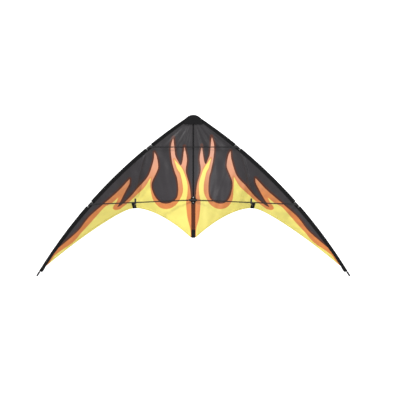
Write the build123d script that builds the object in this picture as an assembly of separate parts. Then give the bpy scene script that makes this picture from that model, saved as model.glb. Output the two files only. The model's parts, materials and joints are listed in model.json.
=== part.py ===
from build123d import *
import math
import os

# Two-line stunt kite: a delta sail on a bent leading edge, a spine and three spreaders.
#
# Millimetres. The origin is the middle of the centre hub, where the lower spreaders' lines meet.
# +X is the right wing as the flyer sees it, +Z points at the nose, and +Y is away from the flyer.
# The spreaders lie in the plane y = 0, in front of the sail, and the spine lies behind the sail.

# Leading edge: one circular arc, seen from the front, for the outer edge of the sleeve.
EDGE_CENTRE = (-1351.5, -1633.6)
EDGE_RADIUS = 2443.0
SLEEVE_OUTER = 4.2
SLEEVE_INNER = 3.6
SLEEVE_FLANGE = 17.0
SPAR_PATH = EDGE_RADIUS - SLEEVE_OUTER
SPAR_Y = 10.0
SPAR_R = 2.75

# Places along the leading edge, as angles about the arc's centre.
NOSE_END = 55.9
SLEEVE_TOP = 55.45
UPPER_CONNECTOR = 50.35
FERRULE = 43.2
LOWER_CONNECTOR = 41.4
SLEEVE_END = 32.5
TIP_CAP_START = 32.24
TIP_END = 31.73

# Sail: a ruled surface from the sleeve to the trailing edge, pushed back by the standoff.
CLOTH = 1.2
SAIL_PATH = SPAR_PATH - SLEEVE_FLANGE - 0.3
SAIL_NOSE = 56.05
SAIL_TIP = 33.23
SAIL_SPAN = 678.0
SEAM_X = 1.0
SEAM_FLAT = 12.0
STANDOFF_X = 278.0
BELLY = 108.0
BELLY_POWER = 1.15
HEM_WIDTH = 8.2
HEM_GAP = 0.8

# Trailing edge height: top, roundness, then slope and curvature towards the tail and the tip.
TRAIL_TOP = -38.8
TRAIL_APEX_X = 274.5
TRAIL_ROUND = 46.0
TRAIL_INNER = (0.174, 0.00139)
TRAIL_OUTER = (0.573, 0.00036)

# Spine and centre hub.
SPINE_R = 3.0
SPINE_Y = 15.6
SPINE_TOP = 372.0
SPINE_BOTTOM = -164.0
HUB_SOCKET_R = 4.6
HUB_REACH = 20.0
HUB_CLAMP_R = 4.6
HUB_CLAMP_HALF = 15.0
HUB_NECK_HALF = (4.5, 7.0)
NOTCH_X = 24.0
NOTCH_Z = 9.0
TAPE_HALF = 9.0
TAPE_FRONT = 10.9
TAPE_THICK = 0.8
TAPE_TOP = 338.0
TAPE_HOLE = 16.0

# Spreaders and standoffs.
LOWER_ROD_R = 2.5
UPPER_ROD_R = 2.0
SOCKET_R = 4.2
SOCKET_LENGTH = 28.0
BALL_R = 4.6
SOCKET_LIP = 3.0
ROD_STOP = 9.0
OPEN_GAP = 0.8
RUNNING = 0.05
STANDOFF_R = 1.5
STANDOFF_FOOT_X = 267.0
STANDOFF_REACH = 99.0
STANDOFF_CAP_R = 3.6
FITTING_SIZE = (8.0, 25.0, 10.0)
FITTING_RISE = 6.5
FITTING_SOCKET = 16.0
CONNECTOR_R = 5.0
CONNECTOR_LENGTH = 22.0
CUTOUT_LENGTH = 46.0
CLIP_LENGTH = 5.0
CLIP_R = 4.4
FERRULE_HALF = 30.0

# Nose and tail webbing.
WEBBING = 1.0
NOSE_TOP = 392.0
NOSE_BOTTOM = 349.0
NOSE_HALF = 40.0
NOSE_FRONT = 4.8
NOSE_REAR = 15.8
POCKET_HALF = 8.0
POCKET_REAR = 20.6
POCKET_BOTTOM = 342.0
TAIL_HALF = 10.2
TAIL_TOP = -137.0
TAIL_BOTTOM = -172.0
STRAP_HALF = 8.0
STRAP_FRONT = 7.6
STRAP_REAR = 19.6
STRAP_THICK = 1.2
STRAP_BOTTOM = -175.4
STRAP_TOP = -146.0


def edge_point(angle, radius=SPAR_PATH):
    """The point at this angle and radius about the leading edge's centre, as x and z."""
    turn = math.radians(angle)
    return (EDGE_CENTRE[0] + radius * math.cos(turn), EDGE_CENTRE[1] + radius * math.sin(turn))


def edge_degrees(length):
    """The angle that a length of leading edge takes."""
    return math.degrees(length / SPAR_PATH)


def trailing_height(x):
    """How high the trailing edge is at this distance from the spine."""
    away = abs(x - TRAIL_APEX_X)
    slope, curve = TRAIL_INNER if x < TRAIL_APEX_X else TRAIL_OUTER
    return TRAIL_TOP - slope * (math.hypot(away, TRAIL_ROUND) - TRAIL_ROUND) - curve * away**2


def sail_ends(u):
    """The leading and trailing ends of the sail's ruling at u, from 0 at the spine to 1 at the tip."""
    lead = edge_point(SAIL_NOSE + u * (SAIL_TIP - SAIL_NOSE), SAIL_PATH)
    x = SEAM_X + u * (SAIL_SPAN - SEAM_X)
    return lead, (x, trailing_height(x))


def sail_point(u, t):
    """A point of the right sail: t runs from 0 at the sleeve to 1 at the trailing edge."""
    lead, trail = sail_ends(u)
    x_trail = trail[0]
    rise = (x_trail - SEAM_FLAT) / (STANDOFF_X - SEAM_FLAT)
    fall = (SAIL_SPAN - x_trail) / (SAIL_SPAN - STANDOFF_X)
    y = SPAR_Y + BELLY * max(min(rise, fall), 0.0) * t**BELLY_POWER
    return (lead[0] + t * (trail[0] - lead[0]), y, lead[1] + t * (trail[1] - lead[1]))


def ruling_length(u):
    """The length of the ruling at u, seen from the front."""
    lead, trail = sail_ends(u)
    return math.dist(lead, trail)


def revolve_section(section, start, end):
    """Turn a section, drawn at angle 0, about the leading edge's centre from start to end."""
    axis = Axis((EDGE_CENTRE[0], 0, EDGE_CENTRE[1]), (0, -1, 0))
    placed = section.moved(Location((EDGE_CENTRE[0], 0, EDGE_CENTRE[1]), (0, -start, 0)))
    return revolve(placed, axis, end - start)


def edge_ring(outer, inner, start, end):
    """A tube, or a rod when inner is 0, along the leading edge between two angles."""
    section = Pos(SPAR_PATH, SPAR_Y) * Circle(outer)
    if inner:
        section -= Pos(SPAR_PATH, SPAR_Y) * Circle(inner)
    return revolve_section(section, start, end)


def cloth_solid(columns):
    """A closed sheet through columns of points, thickened along Y."""
    half = CLOTH / 2
    front = [[(x, y - half, z) for x, y, z in column] for column in columns]
    back = [[(x, y + half, z) for x, y, z in column] for column in columns]
    faces = quilt(front) + quilt(back)
    rows = len(columns[0]) - 1
    for a, b in zip(range(len(columns) - 1), range(1, len(columns))):
        faces += strip(front[a][0], front[b][0], back[a][0], back[b][0])
        faces += strip(front[a][rows], front[b][rows], back[a][rows], back[b][rows])
    for k in range(rows):
        for column in (0, -1):
            f, r = front[column], back[column]
            faces += strip(f[k], f[k + 1], r[k], r[k + 1])
    return Solid(Shell(faces))


def triangle(a, b, c):
    return Face(Wire.make_polygon([a, b, c], close=True))


def strip(a, b, c, d):
    """Two triangles across the quadrilateral a, b, d, c."""
    return [triangle(a, b, c), triangle(b, d, c)]


def quilt(columns):
    """Triangles over a grid of points."""
    faces = []
    for left, right in zip(columns, columns[1:]):
        for k in range(len(left) - 1):
            faces += strip(left[k], right[k], left[k + 1], right[k + 1])
    return faces


def rod_between(start, end, radius):
    """A round rod from one point to another."""
    a, b = Vector(*start), Vector(*end)
    plane = Plane(origin=a, z_dir=(b - a).normalized())
    return extrude(plane * Circle(radius), (b - a).length)


def block(low, high):
    """A box between two corners."""
    size = [b - a for a, b in zip(low, high)]
    middle = [(a + b) / 2 for a, b in zip(low, high)]
    return Pos(*middle) * Box(*size)


def along(start, end, distance):
    """The point at this distance from start towards end."""
    a, b = Vector(*start), Vector(*end)
    return tuple(a + (b - a).normalized() * distance)


# Pivots of the connectors' arms, in the spreaders' plane.
LOWER_PIVOT = (edge_point(LOWER_CONNECTOR)[0], 0.0, edge_point(LOWER_CONNECTOR)[1])
UPPER_PIVOT = (edge_point(UPPER_CONNECTOR)[0], 0.0, edge_point(UPPER_CONNECTOR)[1])
HUB = (0.0, 0.0, 0.0)
STANDOFF_FOOT = along(HUB, LOWER_PIVOT, STANDOFF_FOOT_X)
STANDOFF_U = (STANDOFF_X - SEAM_X) / (SAIL_SPAN - SEAM_X)
STANDOFF_END = sail_point(STANDOFF_U, 0.94)
FLAT_U = (SEAM_FLAT - SEAM_X) / (SAIL_SPAN - SEAM_X)
SAIL_STATIONS = [0.0, FLAT_U] + [STANDOFF_U * k / 8 for k in range(1, 19)]


# The spine and what is fixed to it.


def spine_rod():
    return Pos(0, SPINE_Y, (SPINE_TOP + SPINE_BOTTOM) / 2) * Cylinder(SPINE_R, SPINE_TOP - SPINE_BOTTOM)


def spine_cap(z, up):
    """A vinyl end cap: 12 mm of it grips the rod and 3 mm closes the end."""
    grip, closed, wall = 12.0, 3.0, 0.9
    body = Pos(0, SPINE_Y, z + up * (closed - grip) / 2) * Cylinder(SPINE_R + wall, grip + closed)
    body = fillet(body.edges().group_by(Axis.Z)[-1 if up > 0 else 0], 1.2)
    return body - Pos(0, SPINE_Y, z - up * grip) * Cylinder(SPINE_R + RUNNING, 2 * grip)


def centre_hub():
    """A vinyl T: a clamp on the spine, a neck through the sail, and a socket for each spreader."""
    clamp = Pos(0, SPINE_Y, 0) * Cylinder(HUB_CLAMP_R, 2 * HUB_CLAMP_HALF)
    x, z = HUB_NECK_HALF
    neck = fillet(block((-x, 0, -z), (x, SPINE_Y, z)).edges().filter_by(Axis.Y), 2.0)
    middle = Sphere(HUB_SOCKET_R)
    body = clamp + neck + middle
    for side in (-1, 1):
        mouth = along(HUB, (side * LOWER_PIVOT[0], 0, LOWER_PIVOT[2]), HUB_REACH)
        collar = along(HUB, mouth, HUB_REACH - SOCKET_LIP)
        body += rod_between(HUB, mouth, HUB_SOCKET_R)
        body += rod_between(collar, mouth, HUB_SOCKET_R + 0.5)
        body -= rod_between(along(HUB, mouth, 7), along(HUB, mouth, HUB_REACH + 5), LOWER_ROD_R + 0.1)
    return body - Pos(0, SPINE_Y, 0) * Cylinder(SPINE_R + RUNNING, 3 * HUB_CLAMP_HALF)


def seam_tape():
    """Tape sewn over the centre seam behind the sail, with a hole for the hub."""
    tape = block((-TAPE_HALF, TAPE_FRONT, TAIL_TOP + 1), (TAPE_HALF, TAPE_FRONT + TAPE_THICK, TAPE_TOP))
    return tape - Pos(0, TAPE_FRONT, 0) * Box(3 * TAPE_HALF, 10, 2 * TAPE_HOLE)


def nose_pocket():
    """The webbing pocket that holds the spine's top end."""
    pocket = block((-POCKET_HALF, 11, POCKET_BOTTOM), (POCKET_HALF, POCKET_REAR, NOSE_TOP - 3.5))
    pocket = fillet(pocket.edges().filter_by(Axis.Z), 2.0)
    depth = 2 * (SPINE_TOP + 3.6 - POCKET_BOTTOM)
    return pocket - Pos(0, SPINE_Y, POCKET_BOTTOM) * Cylinder(SPINE_R + 1.0, depth)


def tail_patch():
    """Doubled webbing at the bottom of the centre seam."""
    patch = block((-TAIL_HALF, SPAR_Y - 0.8, TAIL_BOTTOM), (TAIL_HALF, SPAR_Y + 0.8, TAIL_TOP))
    return fillet(patch.edges().filter_by(Axis.Y), 2.0)


def tail_strap():
    """A strap hinged at the front of the tail, round the spine's end and up behind it."""
    rear, base = STRAP_REAR + STRAP_THICK, STRAP_BOTTOM + STRAP_THICK
    bottom = block((-STRAP_HALF, STRAP_FRONT, STRAP_BOTTOM), (STRAP_HALF, rear, base))
    rise = block((-STRAP_HALF, STRAP_REAR, STRAP_BOTTOM), (STRAP_HALF, rear, STRAP_TOP))
    strap = bottom + rise
    corner = strap.edges().filter_by(Axis.X).sort_by(lambda e: e.center().Z - e.center().Y)[0]
    return fillet(corner, 1.0)


# One wing. Each piece is made for the right wing and mirrored for the left.


def upper_spar():
    return edge_ring(SPAR_R, 0, FERRULE + edge_degrees(0.2), NOSE_END)


def lower_spar():
    return edge_ring(SPAR_R, 0, TIP_END + edge_degrees(4), FERRULE - edge_degrees(0.2))


def spar_ferrule():
    """A metal tube outside the joint of the two spars."""
    half = edge_degrees(FERRULE_HALF)
    return edge_ring(SPAR_R + 0.55, SPAR_R + RUNNING, FERRULE - half, FERRULE + half)


def spar_nose_cap():
    """A cap on the spar's nose end."""
    start, end = NOSE_END - edge_degrees(8), NOSE_END + edge_degrees(2.5)
    cap = edge_ring(SPAR_R + 0.8, 0, start, end)
    return cap - edge_ring(SPAR_R + RUNNING, 0, start - 0.1, NOSE_END + edge_degrees(0.2))


def tip_nock():
    """A moulded end nock with a collar and a slot for the tension cord."""
    body = edge_ring(4.3, 0, TIP_END, TIP_CAP_START)
    body += edge_ring(4.9, 0, TIP_CAP_START - edge_degrees(4), TIP_CAP_START)
    body -= edge_ring(SPAR_R + RUNNING, 0, TIP_END + edge_degrees(3.8), TIP_CAP_START + 0.1)
    x, z = edge_point(TIP_END)
    slot = Pos(x, SPAR_Y, z) * Rot(Y=-TIP_END) * Box(12, 2.0, 5.0)
    return body - slot


def edge_sleeve():
    """Webbing sewn round the spar: open at the connectors, where its flange runs on."""
    tube = Pos(SPAR_PATH, SPAR_Y) * Circle(SLEEVE_OUTER)
    flange = Pos(SPAR_PATH - SLEEVE_FLANGE / 2 - 1.9, SPAR_Y) * Rectangle(SLEEVE_FLANGE - 3.8, CLOTH)
    tunnel = Pos(SPAR_PATH, SPAR_Y) * Circle(SLEEVE_INNER)
    sleeve = revolve_section(tube + flange - tunnel, SLEEVE_END, SLEEVE_TOP)
    for angle in (UPPER_CONNECTOR, LOWER_CONNECTOR):
        half = edge_degrees(CUTOUT_LENGTH / 2)
        window = Pos(SPAR_PATH, SPAR_Y) * Rectangle(2 * (CONNECTOR_R + 0.6), 20)
        sleeve -= revolve_section(window, angle - half, angle + half)
    return sleeve


def sail():
    """Ripstop sail half, notched round the hub and cut short at the tail."""
    columns = []
    for u in SAIL_STATIONS:
        last = 1 - (HEM_WIDTH + HEM_GAP) / ruling_length(u)
        columns.append([sail_point(u, last * k / 3) for k in range(4)])
    cloth = cloth_solid(columns)
    cloth -= block((-5, 0, -NOTCH_Z), (NOTCH_X, 20, NOTCH_Z))
    return cloth - block((-5, 0, -200), (TAIL_HALF + 0.6, 20, TAIL_TOP + 1))


def trailing_hem():
    """Folded tape along the trailing edge."""
    columns = []
    for u in SAIL_STATIONS:
        first = 1 - HEM_WIDTH / ruling_length(u)
        columns.append([sail_point(u, first), sail_point(u, 1.0)])
    return cloth_solid(columns) - block((-5, 0, -200), (TAIL_HALF + 0.6, 20, TAIL_TOP + 1))


def hub_patch():
    """Reinforcing patch beside the hub's neck, in the sail's notch."""
    patch = block((5.2, SPAR_Y - 0.6, 0.3 - NOTCH_Z), (NOTCH_X - 0.3, SPAR_Y + 0.6, NOTCH_Z - 0.3))
    return fillet(patch.edges().filter_by(Axis.Y), 1.0)


def nose_outline(inset, seam, side, side_angle, bottom):
    """The nose of one wing from the front: flat on top, then down along the leading edge."""
    over = EDGE_RADIUS + 1.5 - inset
    return Polyline(
        (seam, NOSE_TOP - inset),
        (14.0, NOSE_TOP - inset),
        edge_point(55.66, over),
        edge_point(side_angle, over),
        (side, bottom),
        (seam, bottom),
        close=True,
    )


def nose_cover():
    """Heavy webbing folded over the nose of one wing: a front, a back and the fold between."""
    deep = NOSE_REAR - NOSE_FRONT
    outside = make_face(Plane.XZ * nose_outline(0, SEAM_X, NOSE_HALF, 55.30, NOSE_BOTTOM))
    inside = make_face(Plane.XZ * nose_outline(1.4, -5, NOSE_HALF + 25, 54.8, NOSE_BOTTOM - 10))
    cover = Pos(0, NOSE_REAR, 0) * extrude(outside, deep)
    cover -= Pos(0, NOSE_REAR - WEBBING, 0) * extrude(inside, deep - 2 * WEBBING)
    return cover - block((-5, 10, 300), (9, 20, NOSE_TOP - 1.6))


def edge_connector(angle):
    """A vinyl tube on the spar, rounded at both ends."""
    half = edge_degrees(CONNECTOR_LENGTH / 2)
    body = edge_ring(CONNECTOR_R, SPAR_R + RUNNING, angle - half, angle + half)
    ends = body.edges().filter_by(GeomType.CIRCLE).filter_by(lambda e: e.radius > CONNECTOR_R - 0.1)
    return fillet(ends, 0.8)


def stop_clips(angle):
    """The two clips that hold a connector in its place on the spar."""
    reach = edge_degrees(CONNECTOR_LENGTH / 2 + 0.5)
    width = edge_degrees(CLIP_LENGTH)
    upper = edge_ring(CLIP_R, SPAR_R + RUNNING, angle + reach, angle + reach + width)
    lower = edge_ring(CLIP_R, SPAR_R + RUNNING, angle - reach - width, angle - reach)
    return Compound([upper.solid(), lower.solid()])


def connector_arm(pivot, inner, rod_r):
    """A connector's socket arm: a rounded end at the pivot and a blind bore for the rod."""
    mouth = along(pivot, inner, SOCKET_LENGTH)
    body = Pos(*pivot) * Sphere(BALL_R)
    body += rod_between(pivot, mouth, SOCKET_R)
    body += rod_between(along(pivot, inner, SOCKET_LENGTH - SOCKET_LIP), mouth, SOCKET_R + 0.5)
    bore_end = along(pivot, inner, SOCKET_LENGTH + 5)
    return body - rod_between(along(pivot, inner, ROD_STOP - 0.3), bore_end, rod_r + RUNNING)


# The spreaders and standoffs.


def lower_spreader():
    reach = math.dist(HUB, LOWER_PIVOT)
    start = along(HUB, LOWER_PIVOT, HUB_REACH + OPEN_GAP)
    return rod_between(start, along(HUB, LOWER_PIVOT, reach - ROD_STOP), LOWER_ROD_R)


def upper_spreader():
    left = (-UPPER_PIVOT[0], 0, UPPER_PIVOT[2])
    length = 2 * UPPER_PIVOT[0]
    start = along(left, UPPER_PIVOT, ROD_STOP)
    return rod_between(start, along(left, UPPER_PIVOT, length - SOCKET_LENGTH - OPEN_GAP), UPPER_ROD_R)


def standoff_fitting():
    """A moulded clip that turns on the lower spreader and holds the standoff's front end."""
    foot = Vector(*STANDOFF_FOOT)
    back = (Vector(*STANDOFF_END) - foot).normalized()
    plane = Plane(origin=foot, x_dir=Vector(*LOWER_PIVOT).normalized(), z_dir=(0, 1, 0))
    width, height, depth = FITTING_SIZE
    outline = Pos(0, -FITTING_RISE) * RectangleRounded(width, height, 2.5)
    body = extrude(plane * outline, depth / 2, both=True)
    body += rod_between(STANDOFF_FOOT, tuple(foot + back * FITTING_SOCKET), STANDOFF_R + 1.9)
    body -= rod_between(tuple(foot + back * 7.5), tuple(foot + back * 20), STANDOFF_R + RUNNING)
    low, high = along(HUB, LOWER_PIVOT, STANDOFF_FOOT_X - 20), along(HUB, LOWER_PIVOT, STANDOFF_FOOT_X + 20)
    return body - rod_between(low, high, LOWER_ROD_R + RUNNING)


def standoff_rod():
    return rod_between(
        along(STANDOFF_FOOT, STANDOFF_END, 8),
        along(STANDOFF_FOOT, STANDOFF_END, STANDOFF_REACH - OPEN_GAP),
        STANDOFF_R,
    )


def standoff_cap():
    """The vinyl cap sewn to the trailing edge, which the standoff pushes into."""
    reach = math.dist(STANDOFF_FOOT, STANDOFF_END)
    start = along(STANDOFF_FOOT, STANDOFF_END, STANDOFF_REACH)
    body = rod_between(start, along(STANDOFF_FOOT, STANDOFF_END, reach - 5.8), STANDOFF_CAP_R)
    return body - rod_between(
        along(STANDOFF_FOOT, STANDOFF_END, STANDOFF_REACH - 1),
        along(STANDOFF_FOOT, STANDOFF_END, STANDOFF_REACH + 5),
        STANDOFF_R + 0.1,
    )


def save(shape, node):
    export_step(shape, f"parts/{node}.step")


def save_both(shape, node):
    """Save a right-hand piece and its mirror image."""
    save(shape, f"right_{node}")
    save(mirror(shape, Plane.YZ), f"left_{node}")


def build_centre():
    save(spine_rod(), "spine_rod")
    save(spine_cap(SPINE_TOP, 1), "spine_nose_cap")
    save(spine_cap(SPINE_BOTTOM, -1), "spine_tail_cap")
    save(centre_hub(), "centre_hub")
    save(seam_tape(), "seam_tape")
    save(nose_pocket(), "nose_pocket")
    save(tail_patch(), "tail_patch")
    save(tail_strap(), "tail_strap")


def build_wings():
    save_both(upper_spar(), "upper_edge_spar")
    save_both(lower_spar(), "lower_edge_spar")
    save_both(spar_ferrule(), "edge_ferrule")
    save_both(spar_nose_cap(), "spar_nose_cap")
    save_both(tip_nock(), "tip_nock")
    save_both(edge_sleeve(), "edge_sleeve")
    save_both(sail(), "sail")
    save_both(trailing_hem(), "trailing_hem")
    save_both(hub_patch(), "hub_patch")
    save_both(nose_cover(), "nose_cover")
    save_both(edge_connector(UPPER_CONNECTOR), "upper_connector")
    save_both(edge_connector(LOWER_CONNECTOR), "lower_connector")
    save_both(stop_clips(UPPER_CONNECTOR), "upper_stop_clips")
    save_both(stop_clips(LOWER_CONNECTOR), "lower_stop_clips")
    save_both(standoff_cap(), "standoff_cap")


def build_spreaders():
    across = (-UPPER_PIVOT[0], 0, UPPER_PIVOT[2])
    save(upper_spreader(), "upper_spreader_rod")
    save_both(connector_arm(UPPER_PIVOT, across, UPPER_ROD_R), "upper_arm")
    save_both(connector_arm(LOWER_PIVOT, HUB, LOWER_ROD_R), "lower_arm")
    save_both(lower_spreader(), "lower_spreader_rod")
    save_both(standoff_fitting(), "standoff_fitting")
    save_both(standoff_rod(), "standoff_rod")


os.makedirs("parts", exist_ok=True)
build_centre()
build_wings()
build_spreaders()
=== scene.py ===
"""A two-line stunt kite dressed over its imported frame: cloth, print, stitching and materials.

The frame is in metres. Outlines here are in millimetres, as x outwards from the spine and z up,
for the right wing, and each wing's pieces are made from them with side = 1 or -1.
"""

import json
import math

import bmesh
import bpy
import numpy as np
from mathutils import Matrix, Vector


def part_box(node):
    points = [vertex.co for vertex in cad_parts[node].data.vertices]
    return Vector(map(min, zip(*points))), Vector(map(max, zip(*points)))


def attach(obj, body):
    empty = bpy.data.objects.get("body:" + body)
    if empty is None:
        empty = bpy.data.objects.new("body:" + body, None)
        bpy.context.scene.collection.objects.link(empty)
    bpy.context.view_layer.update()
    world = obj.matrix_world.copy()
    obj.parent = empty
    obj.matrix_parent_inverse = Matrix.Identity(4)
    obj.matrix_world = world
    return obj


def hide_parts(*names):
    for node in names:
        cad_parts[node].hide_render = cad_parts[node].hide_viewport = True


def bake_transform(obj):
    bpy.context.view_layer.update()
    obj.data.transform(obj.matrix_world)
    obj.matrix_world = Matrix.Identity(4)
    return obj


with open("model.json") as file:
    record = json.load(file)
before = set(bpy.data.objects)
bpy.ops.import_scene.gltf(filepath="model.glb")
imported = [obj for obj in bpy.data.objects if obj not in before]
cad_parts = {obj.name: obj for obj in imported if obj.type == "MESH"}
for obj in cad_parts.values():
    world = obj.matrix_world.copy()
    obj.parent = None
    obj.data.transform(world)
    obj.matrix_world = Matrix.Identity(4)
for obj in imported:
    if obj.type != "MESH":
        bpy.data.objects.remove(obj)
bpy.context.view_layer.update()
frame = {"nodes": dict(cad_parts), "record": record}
NODES = frame["nodes"]
MM = 0.001
SIDES = {"right": 1, "left": -1}

# Leading edge arc and what runs along it.
EDGE_CENTRE = np.array([-1351.5, -1633.6])
EDGE_RADIUS = 2443.0
SPAR_PATH = EDGE_RADIUS - 4.2
SPAR_Y = 10.0
SLEEVE_R = 4.1
SLEEVE_LOOSE = 3.2
SLEEVE_TOP = 55.45
SLEEVE_END = 32.34
UPPER_CONNECTOR = 50.35
LOWER_CONNECTOR = 41.4
CUTOUT_HALF = 16.6
FLANGE_EDGE = 11.5
NECK_ANGLE = 34.4
NECK_FLANGE = 10.5
END_FLANGE = 13.0

# Sail surface: rulings from the sleeve to the trailing edge.
SAIL_PATH = SPAR_PATH - 6.5
SAIL_NOSE = 56.2
SAIL_TIP = 33.23
SAIL_SPAN = 678.0
STANDOFF_X = 278.0
BELLY = 108.0
BELLY_POWER = 1.15
RIDGE_SOFTNESS = 0.12
SEAM_FLAT = 12.0
COLUMNS = 190
ROWS = 120
CLOTH_THICKNESS = 0.3
HEM_WIDTH = 8.0

# The slot in the sail behind the hub's sockets: half its width, and its lower and upper edges.
SLOT_HALF = 19.8
SLOT_LOW = -4.2
SLOT_HIGH = 3.2
# Only faces nearer to the hub than this are cut.
SLOT_REACH = 40.0
# Half sizes, across and up: the taller hole in the slot's middle, and the patch round it.
HOLE_HALF = (6.0, 9.0)
PATCH_HALF = (15.0, 21.0)

# Bar tacks at the hub: half their width, and from one row of thread to the next.
TACK_HALF = 3.0
TACK_STEP = 0.75

# Tail and nose webbing.
TAIL_CUT = -172.5
TAIL_HALF = 10.0
TAIL_TOP = -137.0
TAIL_BOTTOM = -173.5
NOSE_TOP = 395.0
NOSE_BOTTOM = 349.0
# The nose cover: how far out it reaches, its lower edge, its front and back, how far it swells
# over the spine's end and how wide that is, and the roundness of its top.
NOSE_REACH = 42.0
NOSE_LOW = 349.5
NOSE_FRONT = 5.1
NOSE_BACK = 15.6
NOSE_SWELL = 5.2
NOSE_SWELL_WIDTH = 8.5
NOSE_ROUND = 5.5
# The pocket behind it: the depth of its flat sides, and its rounded back about the spine.
POCKET_FRONT = 12.0
POCKET_MIDDLE = 15.6
POCKET_R = 4.6
STRAP_HALF = 8.1

# Heights of the sail's small folds, and the creases that fan out from the standoff, each as
# degrees from upright, width in degrees and height.
LONG_FOLD = 2.0
SHORT_FOLD = 1.1
NOSE_FOLD = 2.2
LINE_CREASE = 7.5
STANDOFF_CREASES = ((-16, 5, 6.5), (8, 4, 5.5), (30, 6, 5.0), (-38, 7, 4.4), (52, 7, 3.2))

# The print is stored as distances from its outlines up to this far.
PRINT_RANGE = 60

# Trailing edge: top of the arch, its roundness, and slope and curvature each side of it.
TRAIL_TOP = -38.8
TRAIL_APEX_X = 274.5
TRAIL_ROUND = 46.0
TRAIL_INNER = (0.174, 0.00139)
TRAIL_OUTER = (0.573, 0.00036)

# Studio light: even light from all round, and lamps as name, place, power and size.
WORLD_LIGHT = 0.66
LIGHTS = (
    ("key", (-2.4, -2.6, 2.8), 96, 0.6),
    ("fill", (2.0, -3.8, 0.2), 44, 1.2),
    ("rear", (1.8, 3.2, 2.4), 45, 1.2),
)

# The right panel's print: how far in and up it lies from the left one's.
PRINT_SHIFT = 7.5
PRINT_PINCH = 5.0
PRINT_RISE = 5.0


# ---------------------------------------------------------------- shapes


def edge_point(degrees, radius=SPAR_PATH):
    """x and z of a point at this angle and radius about the leading edge's centre."""
    turn = np.radians(degrees)
    return EDGE_CENTRE[0] + radius * np.cos(turn), EDGE_CENTRE[1] + radius * np.sin(turn)


def edge_degrees(length):
    return math.degrees(length / SPAR_PATH)


def trailing_height(x):
    away = np.abs(x - TRAIL_APEX_X)
    inner = x < TRAIL_APEX_X
    slope = np.where(inner, TRAIL_INNER[0], TRAIL_OUTER[0])
    curve = np.where(inner, TRAIL_INNER[1], TRAIL_OUTER[1])
    return TRAIL_TOP - slope * (np.hypot(away, TRAIL_ROUND) - TRAIL_ROUND) - curve * away**2


def sail_ends(u):
    """x and z of the leading and trailing ends of the rulings at an array of u.

    The first rulings start nearer to the seam, so that the two halves meet at the nose."""
    x0, z0 = edge_point(SAIL_NOSE + u * (SAIL_TIP - SAIL_NOSE), SAIL_PATH)
    x1 = u * SAIL_SPAN
    return x0 - x0[0] * (1 - u) ** 40, z0, x1, trailing_height(x1)


def smooth_step(x, low, high):
    t = np.clip((x - low) / (high - low), 0, 1)
    return t * t * (3 - 2 * t)


def belly(u, t):
    """How far behind the leading edge the sail is, as a soft tent over the standoff."""
    x = u * SAIL_SPAN
    rise = (x - SEAM_FLAT) / (STANDOFF_X - SEAM_FLAT)
    fall = (SAIL_SPAN - x) / (SAIL_SPAN - STANDOFF_X)
    tent = (rise + fall - np.sqrt((rise - fall) ** 2 + RIDGE_SOFTNESS**2)) / 2
    tent = np.maximum(tent, 0) / (1 - RIDGE_SOFTNESS / 2)
    start = smooth_step(x, 4.0, 30.0)
    return BELLY * tent * start * np.maximum(t, 0) ** BELLY_POWER


def ripple(u, t, x, z):
    """Small folds of the cloth: soft ones down the rulings, a fan at the nose, and creases."""
    hold = np.sin(np.pi * np.clip(t, 0, 1)) ** 0.7 * smooth_step(x, 12, 60)
    hold = hold * (1 - smooth_step(u, 0.78, 0.95))
    wander = 0.25 * np.sin(2 * np.pi * (1.7 * t + 3.1 * u))
    soft = LONG_FOLD * np.sin(2 * np.pi * (u * 8.3 + wander))
    soft = soft + SHORT_FOLD * np.sin(2 * np.pi * (u * 15.1 - wander + 0.2))
    fan = np.degrees(np.arctan2(x - STANDOFF_X, z - TRAIL_TOP + 1e-6))
    away = np.hypot(x - STANDOFF_X, z - TRAIL_TOP)
    spread = np.exp(-(((away - 105) / 70) ** 2)) * smooth_step(away, 35, 75)
    creases = 0.0
    for angle, width, height in STANDOFF_CREASES:
        creases = creases + height * np.exp(-(((fan - angle) / width) ** 2))
    nose_fan = np.degrees(np.arctan2(x, 385 - z))
    nose = NOSE_FOLD * np.sin(np.radians(nose_fan * 24)) * np.exp(-(((z - 290) / 60) ** 2))
    nose = nose * smooth_step(x, 6, 30)
    folds = creases * spread - LINE_CREASE * crease_line(x, z)
    return soft * hold * smooth_step(x, 10, 40) + (folds * smooth_step(x, 10, 40) + nose) * hold_ends(t)


def hold_ends(t):
    """No folds where the cloth is sewn down at its two ends."""
    return smooth_step(t, 0.0, 0.06) * (1 - smooth_step(t, 0.96, 1.0))


def crease_line(x, z):
    """A crease from the upper connector down to the standoff's foot."""
    path = STANDOFF_X - 5.0 - 58.0 * np.clip((z - 15) / 225, 0, 1) ** 1.25
    inside = smooth_step(z, 5, 40) * (1 - smooth_step(z, 190, 235))
    return np.exp(-(((x - path) / 5.0) ** 2)) * inside


def sail_surface(u, t, side, lift=0.0):
    """Points of one sail half in metres. lift moves them towards the front, in millimetres."""
    x0, z0, x1, z1 = sail_ends(u)
    x = x0 + t * (x1 - x0)
    z = z0 + t * (z1 - z0)
    y = SPAR_Y + belly(u, t) + ripple(u, t, x, z) - lift
    return np.stack([side * x, y, z], -1) * MM


def smooth_path(points, per_span=8):
    """A smooth line through a stroke's points, sharp only at its two ends."""
    p = np.array(points, float)
    p = np.vstack([2 * p[0] - p[1], p, 2 * p[-1] - p[-2]])
    line = []
    for a, b, c, d in zip(p, p[1:], p[2:], p[3:]):
        for s in np.arange(per_span) / per_span:
            square, cube = 2 * a - 5 * b + 4 * c - d, 3 * b - a - 3 * c + d
            line.append(0.5 * (2 * b + (c - a) * s + square * s**2 + cube * s**3))
    line.append(p[-2])
    return np.array(line)


def outline(strokes):
    """One closed outline from strokes that meet at sharp points."""
    return np.vstack([smooth_path(stroke)[:-1] for stroke in strokes])


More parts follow.
